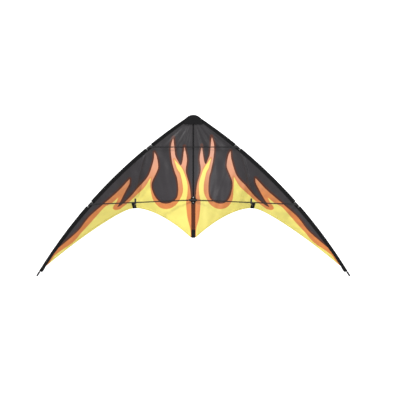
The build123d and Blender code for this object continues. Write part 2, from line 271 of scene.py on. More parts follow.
def signed_distance(points, loop):
    """Distance to a closed outline in millimetres, positive inside."""
    a, b = loop, np.roll(loop, -1, axis=0)
    best = np.full(len(points), 1e9)
    inside = np.zeros(len(points), bool)
    for (ax, az), (bx, bz) in zip(a, b):
        ex, ez = bx - ax, bz - az
        wx, wz = points[:, 0] - ax, points[:, 1] - az
        s = np.clip((wx * ex + wz * ez) / (ex * ex + ez * ez + 1e-9), 0, 1)
        best = np.minimum(best, (wx - s * ex) ** 2 + (wz - s * ez) ** 2)
        if az != bz:
            crosses = (az > points[:, 1]) != (bz > points[:, 1])
            inside ^= crosses & (points[:, 0] < ex * (points[:, 1] - az) / ez + ax)
    return np.where(inside, 1, -1) * np.sqrt(best)


# The printed flames: each stroke runs from one sharp point to the next.
FLAME = outline(
    [
        [(9, -190), (9, -60), (12, 20), (18, 69), (33, 122), (34, 148), (29.5, 190), (41, 249)],
        [(41, 249), (45, 215), (50, 180), (58, 160), (70, 178), (83, 205), (88, 245), (92, 290)],
        [(92, 290), (104, 245), (99, 180), (85, 128), (76, 104), (70, 60), (72, 22), (82, 3), (102, -11),
         (128, -17), (154, -11), (178, 14), (192, 46), (195, 66), (191, 88), (167, 138), (163, 162),
         (170, 202), (180, 222)],
        [(180, 222), (185, 180), (210, 112), (254, 62), (297, 14), (336, -22), (358, -34)],
        [(358, -34), (343, -8), (320, 36), (299, 74), (296, 98)],
        [(296, 98), (338, 53), (382, 12), (432, -32), (483, -78), (530, -138), (560, -167), (640, -236)],
        [(640, -236), (700, -330)],
        [(700, -330), (400, -330), (60, -240), (9, -190)],
    ]
)
CORE = outline(
    [
        [(13, -190), (14, -138), (28, -80), (34, -12), (28, 30), (28, 75), (45, 130), (56, 151),
         (70, 166), (89, 189)],
        [(89, 189), (74, 145), (59, 120), (48, 65), (50, 28), (71, -12), (93, -33), (122, -43), (152, -38),
         (172, -23), (190, 2), (199, 40), (202, 72), (199, 103)],
        [(199, 103), (228, 58), (263, 26), (300, -8), (345, -44)],
        [(345, -44), (366, -48), (378, -40), (374, -27)],
        [(374, -27), (362, -12), (352, 10)],
        [(352, 10), (374, -10), (396, -24), (414, -35), (455, -80), (482, -111), (524, -156), (544, -182),
         (570, -206), (600, -226), (640, -256)],
        [(640, -256), (700, -340)],
        [(700, -340), (400, -340), (60, -250), (13, -190)],
    ]
)


# ---------------------------------------------------------------- meshes


def new_object(name, verts, faces, material, smooth=True):
    mesh = bpy.data.meshes.new(name)
    mesh.from_pydata([tuple(v) for v in verts], [], [tuple(int(i) for i in f) for f in faces])
    mesh.update()
    if smooth:
        mesh.polygons.foreach_set("use_smooth", [True] * len(mesh.polygons))
    mesh.materials.append(material)
    thing = bpy.data.objects.new(name, mesh)
    bpy.context.scene.collection.objects.link(thing)
    return thing


def grid_faces(columns, rows, start=0, flip=False, closed=False):
    """Quads over columns of points, each column with this many rows."""
    faces = []
    last = rows if closed else rows - 1
    for i in range(columns - 1):
        for j in range(last):
            a, b = start + i * rows + j, start + i * rows + (j + 1) % rows
            quad = (a, b, b + rows, a + rows)
            faces.append(quad[::-1] if flip else quad)
    return faces


def thicken(thing, millimetres, offset=0.0):
    """Give a sheet its thickness and keep it as mesh."""
    solid = thing.modifiers.new("thickness", "SOLIDIFY")
    solid.thickness = millimetres * MM
    solid.offset = offset
    apply_modifiers(thing)


def apply_modifiers(thing):
    graph = bpy.context.evaluated_depsgraph_get()
    mesh = bpy.data.meshes.new_from_object(thing.evaluated_get(graph))
    thing.modifiers.clear()
    old = thing.data
    thing.data = mesh
    bpy.data.meshes.remove(old)


def remove_loose(thing):
    """Drop points that no face uses, and faces with no area."""
    work = bmesh.new()
    work.from_mesh(thing.data)
    bmesh.ops.remove_doubles(work, verts=work.verts, dist=0.02 * MM)
    bmesh.ops.dissolve_degenerate(work, edges=work.edges, dist=0.01 * MM)
    bmesh.ops.delete(work, geom=[v for v in work.verts if not v.link_faces], context="VERTS")
    work.to_mesh(thing.data)
    work.free()


def paint(thing):
    """Store the printed flames on the mesh as distances from their two outlines."""
    co = np.array([v.co for v in thing.data.vertices]) / MM
    x, z = np.abs(co[:, 0]), co[:, 2]
    if co[:, 0].mean() > 0:
        inward, up = panel_shift(x, z)
        x, z = x + inward, z - up
    flat = np.stack([x, z], -1)
    for name, loop in (("print_outer", FLAME), ("print_core", CORE)):
        layer = thing.data.attributes.new(name, "FLOAT", "POINT")
        distance = np.clip(signed_distance(flat, loop), -PRINT_RANGE, PRINT_RANGE)
        layer.data.foreach_set("value", distance.astype(np.float32))


def panel_shift(x, z):
    """How far the right panel's print was laid in and up from the left one's."""
    inward = smooth_step(x + 0.25 * z, 85, 140) * (1 - smooth_step(x, 300, 420)) * smooth_step(z, -60, 50)
    pinch = np.exp(-(((x - 195) / 45) ** 2) - ((z - 70) / 60) ** 2)
    return PRINT_SHIFT * inward + PRINT_PINCH * pinch, PRINT_RISE * smooth_step(z, 0, 90)


def bend_at_seam(thing):
    """Bake the piece's placement into its points."""
    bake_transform(thing)


def stitch_row(name, points, normals, material, step=4.2, length=2.8, width=0.55, height=0.35):
    """Thread dashes along a line of points in metres, lying on the side that normals point to."""
    points = np.asarray(points, float)
    lengths = np.concatenate([[0], np.cumsum(np.linalg.norm(np.diff(points, axis=0), axis=1))])
    count = max(int(lengths[-1] / (step * MM)), 1)
    verts, faces = [], []
    for k in range(count):
        low, high = k * step * MM, (k * step + length) * MM
        ends = [np.array([np.interp(s, lengths, points[:, i]) for i in range(3)]) for s in (low, high)]
        up = np.array([np.interp(low, lengths, normals[:, i]) for i in range(3)])
        along = (ends[1] - ends[0]) / (np.linalg.norm(ends[1] - ends[0]) + 1e-12)
        across = np.cross(along, up) * width * MM / 2
        lift = up * height * MM
        base = len(verts)
        middle = (ends[0] + ends[1]) / 2
        inset = (middle - ends[0]) * 0.25
        for centre, rise in ((ends[0], 0), (ends[0] + inset, 1), (ends[1] - inset, 1), (ends[1], 0)):
            reach = across * (0.5 + rise / 2)
            verts += [centre - reach, centre + lift * rise, centre + reach]
        for ring in range(3):
            a = base + ring * 3
            faces += [(a, a + 1, a + 4, a + 3), (a + 1, a + 2, a + 5, a + 4), (a + 2, a, a + 3, a + 5)]
        faces += [(base, base + 2, base + 1), (base + 9, base + 10, base + 11)]
    return new_object(name, verts, faces, material)


def sweep_edge(sections, side):
    """Verts and faces of sections swept along the leading edge.

    sections is a list of (angle, loop), and a loop holds (outwards, y) pairs in millimetres."""
    verts = []
    for degrees, loop in sections:
        loop = np.asarray(loop, float)
        x, z = edge_point(degrees, SPAR_PATH + loop[:, 0])
        verts.append(np.stack([side * x, loop[:, 1], z], -1) * MM)
    rows = len(sections[0][1])
    return np.vstack(verts), rows


# ---------------------------------------------------------------- materials


def new_material(name, colour, roughness, sheen=0.0, specular=0.5, coat=0.0):
    material = bpy.data.materials.new(name)
    material.use_nodes = True
    shader = material.node_tree.nodes["Principled BSDF"]
    shader.inputs["Base Color"].default_value = (*colour, 1)
    shader.inputs["Roughness"].default_value = roughness
    shader.inputs["Sheen Weight"].default_value = sheen
    shader.inputs["Specular IOR Level"].default_value = specular
    shader.inputs["Coat Weight"].default_value = coat
    return material, material.node_tree, shader


def add(tree, kind, **values):
    """A node with its named inputs or properties set."""
    node = tree.nodes.new(kind)
    for key, value in values.items():
        if hasattr(node, key):
            setattr(node, key, value)
        else:
            node.inputs[key.replace("_", " ")].default_value = value
    return node


def ramp(tree, source, stops, mode="LINEAR"):
    """A colour ramp over a value, from (position, colour) stops."""
    node = tree.nodes.new("ShaderNodeValToRGB")
    node.color_ramp.interpolation = mode
    elements = node.color_ramp.elements
    while len(elements) > 1:
        elements.remove(elements[-1])
    elements[0].position = stops[0][0]
    elements[0].color = (*stops[0][1], 1)
    for position, colour in stops[1:]:
        elements.new(position).color = (*colour, 1)
    tree.links.new(source, node.inputs[0])
    return node


def place(tree, scale=(1, 1, 1)):
    """The piece's own coordinates in millimetres, scaled."""
    coords = tree.nodes.new("ShaderNodeTexCoord")
    mapping = tree.nodes.new("ShaderNodeMapping")
    mapping.inputs["Scale"].default_value = [s / MM for s in scale]
    tree.links.new(coords.outputs["Object"], mapping.inputs["Vector"])
    return mapping.outputs[0]


def mix_colour(tree, factor, a, b):
    node = tree.nodes.new("ShaderNodeMix")
    node.data_type = "RGBA"
    for value, socket in ((factor, node.inputs[0]), (a, node.inputs[6]), (b, node.inputs[7])):
        if hasattr(value, "links"):
            tree.links.new(value, socket)
        else:
            socket.default_value = value if socket == node.inputs[0] else (*value, 1)
    return node.outputs[2]


def math_node(tree, operation, *values):
    node = tree.nodes.new("ShaderNodeMath")
    node.operation = operation
    for k, value in enumerate(values):
        if hasattr(value, "links"):
            tree.links.new(value, node.inputs[k])
        else:
            node.inputs[k].default_value = value
    return node.outputs[0]


def bump(tree, shader, height, strength, distance):
    node = tree.nodes.new("ShaderNodeBump")
    node.inputs["Strength"].default_value = strength
    node.inputs["Distance"].default_value = distance * MM
    tree.links.new(height, node.inputs["Height"])
    tree.links.new(node.outputs[0], shader.inputs["Normal"])


def srgb(r, g, b):
    """A colour from 0 to 255 levels, as linear values."""
    return tuple(((c / 255 + 0.055) / 1.055) ** 2.4 if c > 10 else c / 255 / 12.92 for c in (r, g, b))


def ripstop_height(tree, pitch=5.0):
    """Raised threads every few millimetres both ways over a fine plain weave."""
    lines = None
    for axis in ("X", "Z"):
        wave = tree.nodes.new("ShaderNodeTexWave")
        wave.bands_direction = axis
        wave.inputs["Scale"].default_value = 0.314 / pitch
        tree.links.new(place(tree), wave.inputs["Vector"])
        thread = math_node(tree, "POWER", wave.outputs["Fac"], 14.0)
        lines = thread if lines is None else math_node(tree, "MAXIMUM", lines, thread)
    fine = tree.nodes.new("ShaderNodeTexNoise")
    fine.inputs["Scale"].default_value = 1.6
    tree.links.new(place(tree), fine.inputs["Vector"])
    return math_node(tree, "ADD", lines, math_node(tree, "MULTIPLY", fine.outputs["Fac"], 0.35))


def at(millimetres):
    """Where a distance from an outline falls on a colour ramp."""
    return 0.5 + millimetres / (2 * PRINT_RANGE)


def sail_material(name, brightness):
    """Printed ripstop: black, with flames by distance from their outlines, and painted shade that darkens
    the black towards the top.
    """
    material, tree, shader = new_material(name, (0.05, 0.05, 0.055), 0.45, sheen=0.1, specular=0.45)
    flame = add(tree, "ShaderNodeAttribute", attribute_name="print_outer").outputs["Fac"]
    core = add(tree, "ShaderNodeAttribute", attribute_name="print_core").outputs["Fac"]
    wander = tree.nodes.new("ShaderNodeTexNoise")
    wander.inputs["Scale"].default_value = 0.02
    wander.inputs["Detail"].default_value = 3.0
    tree.links.new(place(tree), wander.inputs["Vector"])
    black = srgb(55, 51, 55)
    outline_brown = srgb(80, 34, 14)
    orange = srgb(224, 142, 84)
    salmon = srgb(230, 166, 138)
    deep = srgb(224, 134, 70)
    yellow = srgb(247, 233, 122)
    split = tree.nodes.new("ShaderNodeSeparateXYZ")
    tree.links.new(place(tree), split.inputs[0])
    height = math_node(tree, "MULTIPLY_ADD", split.outputs["Z"], 1 / 500, 0.4)
    flame_colour = ramp(tree, height, [(0.3, deep), (0.46, orange), (0.8, salmon)]).outputs[0]
    edge = math_node(tree, "MULTIPLY_ADD", flame, 1 / (2 * PRINT_RANGE), 0.5)
    # Painted shade: the black cloth is ramped darker towards the top, from about 50 mm to 275 mm up.
    cloth = ramp(tree, height, [(0.5, black), (0.95, srgb(42, 39, 42))]).outputs[0]
    near = ramp(tree, edge, [(at(-11), (0, 0, 0)), (at(-5), (1, 1, 1))]).outputs[0]
    ground = mix_colour(tree, near, cloth, outline_brown)
    inner = math_node(tree, "MULTIPLY_ADD", core, 1 / (2 * PRINT_RANGE), 0.5)
    inside = ramp(tree, inner, [(at(-2.5), (0, 0, 0)), (at(1), (1, 1, 1))], "EASE").outputs[0]
    rim_stops = [(at(-9), (0, 0, 0)), (at(-2), (1, 1, 1)), (at(1.5), (0, 0, 0))]
    rim = ramp(tree, inner, rim_stops, "EASE").outputs[0]
    fringe = mix_colour(tree, math_node(tree, "MULTIPLY", rim, 0.75), flame_colour, deep)
    printed = mix_colour(tree, inside, fringe, yellow)
    is_flame = ramp(tree, edge, [(at(-1), (0, 0, 0)), (at(1), (1, 1, 1))]).outputs[0]
    colour = mix_colour(tree, is_flame, ground, printed)
    # brightness scales the whole colour; a value below 1 is painted shade, used for the hem.
    shade = math_node(tree, "MULTIPLY_ADD", wander.outputs["Fac"], 0.3, brightness - 0.15)
    shaded = tree.nodes.new("ShaderNodeVectorMath")
    shaded.operation = "SCALE"
    tree.links.new(colour, shaded.inputs[0])
    tree.links.new(shade, shaded.inputs["Scale"])
    tree.links.new(shaded.outputs[0], shader.inputs["Base Color"])
    bump(tree, shader, ripstop_height(tree), 0.35, 0.12)
    return material


def webbing_material():
    """Black woven polyester with a tight diagonal weave."""
    material, tree, shader = new_material("black_webbing", srgb(22, 22, 24), 0.8, sheen=0.05, specular=0.2)
    heights = []
    for scale in ((1.0, 1.0, 1.0), (-1.0, 1.0, 1.0)):
        wave = tree.nodes.new("ShaderNodeTexWave")
        wave.bands_direction = "DIAGONAL"
        wave.inputs["Scale"].default_value = 0.32
        tree.links.new(place(tree, scale), wave.inputs["Vector"])
        heights.append(wave.outputs["Fac"])
    weave = math_node(tree, "MAXIMUM", *heights)
    fuzz = tree.nodes.new("ShaderNodeTexNoise")
    fuzz.inputs["Scale"].default_value = 0.08
    tree.links.new(place(tree), fuzz.inputs["Vector"])
    colour = mix_colour(tree, fuzz.outputs["Fac"], srgb(10, 10, 11), srgb(24, 24, 26))
    tree.links.new(colour, shader.inputs["Base Color"])
    bump(tree, shader, weave, 0.5, 0.2)
    return material


def rod_material():
    """Black pultruded fibreglass: faint lengthwise streaks under a low gloss."""
    material, tree, shader = new_material("fibreglass_rod", srgb(24, 24, 26), 0.4, specular=0.35, coat=0.1)
    streak = tree.nodes.new("ShaderNodeTexNoise")
    streak.inputs["Scale"].default_value = 0.6
    streak.inputs["Detail"].default_value = 4.0
    tree.links.new(place(tree, (0.15, 1, 0.15)), streak.inputs["Vector"])
    colour = mix_colour(tree, streak.outputs["Fac"], srgb(14, 14, 15), srgb(32, 32, 34))
    tree.links.new(colour, shader.inputs["Base Color"])
    rough = math_node(tree, "MULTIPLY_ADD", streak.outputs["Fac"], 0.2, 0.24)
    tree.links.new(rough, shader.inputs["Roughness"])
    return material


def plastic_material(name, dark, light, roughness):
    """Moulded plastic with a fine satin grain and a little wear in its colour."""
    material, tree, shader = new_material(name, dark, roughness, specular=0.45)
    grain = tree.nodes.new("ShaderNodeTexNoise")
    grain.inputs["Scale"].default_value = 2.2
    tree.links.new(place(tree), grain.inputs["Vector"])
    wear = tree.nodes.new("ShaderNodeTexNoise")
    wear.inputs["Scale"].default_value = 0.15
    tree.links.new(place(tree), wear.inputs["Vector"])
    colour = mix_colour(tree, wear.outputs["Fac"], dark, light)
    tree.links.new(colour, shader.inputs["Base Color"])
    bump(tree, shader, grain.outputs["Fac"], 0.15, 0.08)
    return material


def metal_material():
    material, tree, shader = new_material("ferrule_metal", (0.6, 0.6, 0.62), 0.3)
    shader.inputs["Metallic"].default_value = 1.0
    lines = tree.nodes.new("ShaderNodeTexNoise")
    lines.inputs["Scale"].default_value = 3.0
    tree.links.new(place(tree, (1, 1, 0.05)), lines.inputs["Vector"])
    rough = math_node(tree, "MULTIPLY_ADD", lines.outputs["Fac"], 0.25, 0.2)
    tree.links.new(rough, shader.inputs["Roughness"])
    return material


SAIL = sail_material("printed_ripstop", 1.0)
# The hem's copy of the sail is painted 5% darker as shade along the folded edge.
HEM = sail_material("printed_hem", 0.95)
WEBBING = webbing_material()
ROD = rod_material()
VINYL = plastic_material("black_vinyl", srgb(22, 22, 24), srgb(36, 36, 39), 0.5)
CLIP = plastic_material("grey_clip", srgb(104, 104, 104), srgb(132, 132, 130), 0.45)
THREAD = plastic_material("black_thread", srgb(30, 30, 32), srgb(52, 52, 55), 0.7)
METAL = metal_material()
THREAD_WHITE = plastic_material("white_thread", srgb(196, 196, 194), srgb(226, 226, 224), 0.8)
BAND = plastic_material("brown_binding", srgb(70, 26, 4), srgb(96, 42, 12), 0.8)
THREAD_PALE = plastic_material("yellow_thread", srgb(176, 150, 54), srgb(206, 182, 80), 0.7)


# ---------------------------------------------------------------- sail


def cut_tail(points):
    """Lift what would hang below the tail webbing up to its cut end."""
    near = np.abs(points[..., 0]) < (TAIL_HALF + 4) * MM
    points[..., 2] = np.where(near, np.maximum(points[..., 2], TAIL_CUT * MM), points[..., 2])
    return points


def in_slot(x, z):
    """Whether a place in the sail is cut away for the hub."""
    hole = (np.abs(x) < HOLE_HALF[0]) & (np.abs(z) < HOLE_HALF[1])
    return hole | ((np.abs(x) < SLOT_HALF) & (z > SLOT_LOW) & (z < SLOT_HIGH))


def cut_slot(cloth, side):
    """Cut the slot and the hole for the hub out of the cloth, with straight edges."""
    work = bmesh.new()
    work.from_mesh(cloth.data)
    cuts = [((0, 0, z), (0, 0, 1)) for z in (HOLE_HALF[1], SLOT_HIGH, SLOT_LOW, -HOLE_HALF[1])]
    cuts += [((side * x, 0, 0), (1, 0, 0)) for x in (HOLE_HALF[0], SLOT_HALF)]
    for at, normal in cuts:
        near = [face for face in work.faces if face.calc_center_median().length < SLOT_REACH * MM]
        edges = list(dict.fromkeys(edge for face in near for edge in face.edges))
        verts = list(dict.fromkeys(vert for face in near for vert in face.verts))
        bmesh.ops.bisect_plane(
            work, geom=near + edges + verts, plane_co=Vector(at) * MM, plane_no=normal, dist=0.01 * MM
        )
    middles = {face: face.calc_center_median() / MM for face in work.faces}
    gone = [face for face, middle in middles.items() if in_slot(middle.x, middle.z)]
    bmesh.ops.delete(work, geom=gone, context="FACES")
    work.to_mesh(cloth.data)
    work.free()


def sail_half(name, side):
    """One sail half: a sheet with its small folds, a slot for the hub and the print."""
    u = np.concatenate([np.linspace(0, 0.06, 14)[:-1], np.linspace(0.06, 1, COLUMNS - 13)])
    t = np.linspace(0, 1, ROWS)
    grid = np.stack([sail_surface(u, np.full_like(u, k), side) for k in t], 1)
    verts = cut_tail(grid).reshape(-1, 3)
    faces = grid_faces(len(u), ROWS, flip=side > 0)
    centre = verts[np.array(faces)].mean(1) / MM
    tail = (np.abs(centre[:, 0]) < TAIL_HALF + 4) & (centre[:, 2] < TAIL_CUT + 0.05)
    faces = [face for face, cut in zip(faces, tail) if not cut]
    cloth = new_object(f"{name}_sail_cloth", verts, faces, SAIL)
    cut_slot(cloth, side)
    remove_loose(cloth)
    thicken(cloth, CLOTH_THICKNESS)
    paint(cloth)
    bend_at_seam(cloth)
    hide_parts(f"{name}_sail")
    return cloth


def hem(name, side):
    """The trailing edge's folded hem: cloth on both faces, joined round the edge."""
    u = np.linspace((TAIL_HALF - 0.8) / SAIL_SPAN, 0.985, 240)
    x0, z0, x1, z1 = sail_ends(u)
    inner = 1 - HEM_WIDTH / np.maximum(np.hypot(x1 - x0, z1 - z0), HEM_WIDTH + 1)
    rows = [
        (inner, 0.35),
        (inner * 0.5 + 0.5, 0.5),
        (np.ones_like(u), 0.42),
        (1 + (1 - inner) * 0.06, 0.0),
        (np.ones_like(u), -0.42),
        (inner * 0.5 + 0.5, -0.5),
        (inner, -0.35),
    ]
    grid = cut_tail(np.stack([sail_surface(u, t, side, lift) for t, lift in rows], 1))
    faces = grid_faces(len(u), len(rows), flip=side > 0, closed=True)
    first, last = range(len(rows)), range((len(u) - 1) * len(rows), len(u) * len(rows))
    ends = [tuple(first)[::side], tuple(last)[::-side]]
    tape = new_object(f"{name}_trailing_hem_tape", grid.reshape(-1, 3), faces + ends, HEM)
    paint(tape)
    bend_at_seam(tape)
    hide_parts(f"{name}_trailing_hem")
    line = sail_surface(u, inner + (1 - inner) * 0.2, side, 0.55)
    front = np.tile([0.0, -1.0, 0.0], (len(line), 1))
    thread = stitch_row(f"{name}_hem_stitches", line, front, THREAD_PALE)
    bend_at_seam(thread)
    return tape


# ---------------------------------------------------------------- leading edge


def flange_reach(degrees):
    """How far in the sleeve's flange reaches: narrower above the tip, and cut on a slant at its end."""
    neck = np.exp(-(((degrees - NECK_ANGLE) / 1.1) ** 2))
    end = np.exp(-(((degrees - SLEEVE_END - 0.3) / 0.4) ** 2))
    reach = FLANGE_EDGE + (NECK_FLANGE - FLANGE_EDGE) * neck + (END_FLANGE - FLANGE_EDGE) * end
    return np.minimum(reach, 7.6 + np.radians(degrees - SLEEVE_END) * SPAR_PATH)


def sleeve_wrap(degrees):
    """The sleeve's strip in section: a flange, round the spar, and back along the other flange."""
    reach = flange_reach(degrees)
    front = [(-reach, -0.42), (-reach * 0.85, -0.45), (-7.4, -0.6), (-5.5, -0.95), (-4.5, -1.9)]
    loose = SLEEVE_LOOSE * math.sin(math.pi * (degrees - SLEEVE_END) / (SLEEVE_TOP - SLEEVE_END))
    turns = np.radians(np.linspace(-138, 138, 19))
    round_spar = [
        (SLEEVE_R * math.cos(a) + loose * max(math.cos(a), 0), SLEEVE_R * math.sin(a)) for a in turns
    ]
    back = [(x, -y) for x, y in reversed(front)]
    return [(x, SPAR_Y + y) for x, y in front + round_spar + back]


def sleeve(name, side):
    """Webbing sleeve in three lengths, with its two flanges running on through the openings."""
    cuts = [SLEEVE_TOP]
    for middle in (UPPER_CONNECTOR, LOWER_CONNECTOR):
        half = edge_degrees(CUTOUT_HALF)
        cuts += [middle + half, middle - half]
    cuts.append(SLEEVE_END)
    verts, faces = [], []
    for k, (start, end) in enumerate(zip(cuts, cuts[1:])):
        strips = [slice(0, 5), slice(-5, None)] if k % 2 else [slice(None)]
        count = max(int((start - end) / edge_degrees(4)), 8)
        angles = np.linspace(start, end, count)
        for strip in strips:
            points, rows = sweep_edge([(a, sleeve_wrap(a)[strip]) for a in angles], side)
            faces += grid_faces(count, rows, len(verts), flip=side < 0)
            verts += list(points)
    cloth = new_object(f"{name}_edge_sleeve_cloth", verts, faces, WEBBING)
    thicken(cloth, 0.5)
    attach(cloth, f"{name}_wing")
    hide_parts(f"{name}_edge_sleeve")
    angles = np.linspace(SLEEVE_TOP - 0.1, SLEEVE_END + 0.1, 240)
    inward = flange_reach(angles) - 2.0
    for face, direction in (("front", -1.0), ("back", 1.0)):
        x, z = edge_point(angles, SPAR_PATH - inward)
        line = np.stack([side * x, np.full_like(x, SPAR_Y + direction * 0.7), z], -1) * MM
        up = np.tile([0.0, direction, 0.0], (len(line), 1))
        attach(stitch_row(f"{name}_sleeve_{face}_stitches", line, up, THREAD), f"{name}_wing")
    return cloth


# ---------------------------------------------------------------- webbing at nose, hub and tail


def nose_height(x):
    """The top of the nose at x: flat in the middle, rounding onto the leading edge."""
    spread = 3.6 - 2.8 * smooth_step(x, 22, 42)
    edge = np.sqrt(np.maximum((EDGE_RADIUS + spread) ** 2 - (x - EDGE_CENTRE[0]) ** 2, 0)) + EDGE_CENTRE[1]
    top = NOSE_TOP - 0.006 * x**2
    return (edge + top - np.sqrt((edge - top) ** 2 + 40)) / 2


def nose_cover(name, side):
    """Half of the webbing folded over the nose, swelling behind over the spine's end."""
    x = np.linspace(0, NOSE_REACH, 33)
    low, front = NOSE_LOW, NOSE_FRONT
    columns = []
    for xk in x:
        top = float(nose_height(np.array(xk)))
        back = NOSE_BACK + NOSE_SWELL * math.exp(-((xk / NOSE_SWELL_WIDTH) ** 2))
        round_z = min(NOSE_ROUND, (top - low) / 2)
        column = [(front, low + (top - round_z - low) * s) for s in np.linspace(0, 1, 12)]
        for angle in np.linspace(0, 180, 13)[1:-1]:
            turn = math.radians(angle)
            middle, half = (front + back) / 2, (back - front) / 2
            column.append((middle - half * math.cos(turn), top - round_z + round_z * math.sin(turn)))
        column += [(back, low + (top - round_z - low) * s) for s in np.linspace(1, 0, 12)]
        columns.append([(side * xk, y, z) for y, z in column])
    verts = np.array(columns).reshape(-1, 3) * MM
    faces = grid_faces(len(x), len(columns[0]), flip=side > 0)
    cover = new_object(f"{name}_nose_webbing", verts, faces, WEBBING)
    thicken(cover, 0.9, offset=-1.0)
    bend_at_seam(cover)
    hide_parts(f"{name}_nose_cover")
    line = np.array([(side * xk, 4.9, 352.0) for xk in np.linspace(0.5, 38, 40)]) * MM
    up = np.tile([0.0, -1.0, 0.0], (len(line), 1))
    thread = stitch_row(f"{name}_nose_stitches", line, up, THREAD)
    bend_at_seam(thread)
    return cover


def patch_grid(name, x_of_row, z_rows, side, y, thickness, material=None):
    """A webbing patch on one wing. Each row runs across from one x to another at its height."""
    columns = 7
    verts = []
    for z in z_rows:
        low, high = x_of_row(z)
        for x in np.linspace(low, high, columns):
            verts.append((side * x * MM, y * MM, z * MM))
    faces = grid_faces(len(z_rows), columns, flip=side < 0)
    patch = new_object(name, verts, faces, material or WEBBING)
    thicken(patch, thickness)
    bevel_edges(patch, thickness * 0.3)
    return patch


def bevel_edges(thing, millimetres):
    """Round a sheet's cut edges."""
    work = bmesh.new()
    work.from_mesh(thing.data)
    sharp = [e for e in work.edges if len(e.link_faces) == 2 and e.calc_face_angle() > 1.0]
    bmesh.ops.bevel(work, geom=sharp, offset=millimetres * MM, segments=2, affect="EDGES", profile=0.5)
    for face in work.faces:
        face.smooth = True
    work.to_mesh(thing.data)
    work.free()


def centre_piece(piece, replaces=()):
    bend_at_seam(piece)
    if replaces:
        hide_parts(*replaces)


def stitched_line(label, name, side, points, y, direction, material):
    """A row of stitches through (x, z) points on one wing, at depth y."""
    points = np.asarray(points, float)
    line = np.stack([side * points[:, 0], np.full(len(points), y), points[:, 1]], -1) * MM
    thread = stitch_row(f"{name}_{label}", line, np.tile([0.0, direction, 0.0], (len(line), 1)), material)
    bend_at_seam(thread)


def centre_webbing(name, side):
    """What is sewn along the middle: binding in front, tape behind, hub diamond and tail patch."""
    front = SPAR_Y - 0.55
    high, low = PATCH_HALF[1], TAIL_TOP
    rows = np.linspace(high, NOSE_BOTTOM + 2, 80)
    binding = patch_grid(f"{name}_centre_binding", lambda z: (0.0, 3.6), rows, side, front, 0.5)
    centre_piece(binding)
    ends = [(2.6, high + 2), (2.6, NOSE_BOTTOM)]
    stitched_line("binding_stitches", name, side, ends, front - 0.25, -1.0, THREAD)

    rows = np.linspace(low, -high, 60)
    band = patch_grid(f"{name}_keel_band", lambda z: (0.0, 9.0), rows, side, front, 0.45, BAND)
    centre_piece(band)
    stitched_line("band_stitches", name, side, [(7.6, low), (7.6, -high)], front - 0.22, -1.0, THREAD)

    for face, y in (("front", SPAR_Y - 0.95), ("back", SPAR_Y + 1.9)):
        for part, rows in (("upper", (SLOT_HIGH + 0.2, high)), ("lower", (-high, SLOT_LOW - 0.2))):
            patch = patch_grid(
                f"{name}_hub_{part}_{face}_patch", diamond_row, np.linspace(*rows, 24), side, y, 0.6
            )
            replaced = [f"{name}_hub_patch"] if (face, part) == ("front", "upper") else []
            centre_piece(patch, replaced)

    tape_top = 338.0
    tapes = (("upper", (high - 1, tape_top, 70)), ("lower", (TAIL_TOP, 1 - high, 30)))
    for part, span in tapes:
        rows = np.linspace(*span)
        tape = patch_grid(f"{name}_seam_tape_{part}", lambda z: (0.0, 9.0), rows, side, SPAR_Y + 1.3, 0.8)
        replaced = ["seam_tape"] if part == "upper" and side > 0 else []
        centre_piece(tape, replaced)
        ends = [(7.4, rows[0]), (7.4, rows[-1])]
        stitched_line(f"tape_{part}_stitches", name, side, ends, SPAR_Y + 1.75, 1.0, THREAD)

    tail_rows = np.linspace(TAIL_BOTTOM, TAIL_TOP, 24)
    patch = patch_grid(f"{name}_tail_webbing", tail_row, tail_rows, side, SPAR_Y - 0.55, 0.9)
    centre_piece(patch, ["tail_patch"] if side > 0 else [])
    ends = [(0.5, TAIL_TOP - 2), (8.4, TAIL_TOP - 2), (8.4, TAIL_BOTTOM + 2.5), (0.5, TAIL_BOTTOM + 2.5)]
    stitched_line("tail_stitches", name, side, ends, SPAR_Y - 1.0, -1.0, THREAD)


def diamond_row(z):
    """The hub patch's width at a height, less the hole for the hub."""
    hole, least_beside_hole, least_at_point = 2.4, 0.8, 1.2
    outer = PATCH_HALF[0] * (1 - 0.93 * max(abs(z) - SLOT_HIGH, 0) / (PATCH_HALF[1] - SLOT_HIGH))
    if abs(z) < HOLE_HALF[1]:
        return hole, hole + max(outer - hole, least_beside_hole)
    return 0.0, max(outer, least_at_point)


def tail_row(z):
    """The tail webbing's width at a height, with rounded lower corners."""
    corner = max(1.0 - (z - TAIL_BOTTOM), 0.0)
    return 0.0, TAIL_HALF - 0.6 - (1.0 - math.sqrt(max(1.0 - corner**2, 0.0)))


def standoff_patches(name, side):
    """Black patches on both faces of the trailing edge where the standoff's cap is sewn on."""
    u = np.linspace(STANDOFF_X - 9.0, STANDOFF_X + 9.0, 15) / SAIL_SPAN
    for face, lift in (("front", 1.0), ("back", -1.0)):
        rows = []
        for t in np.linspace(0.845, 1.006, 18):
            rows.append(sail_surface(u, np.full_like(u, t), side, lift))
        grid = np.stack(rows, 1)
        faces = grid_faces(len(u), len(rows), flip=side > 0)
        patch = new_object(f"{name}_standoff_{face}_patch", grid.reshape(-1, 3), faces, WEBBING)
        thicken(patch, 0.7)
        bevel_edges(patch, 0.2)
        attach(patch, f"{name}_wing")


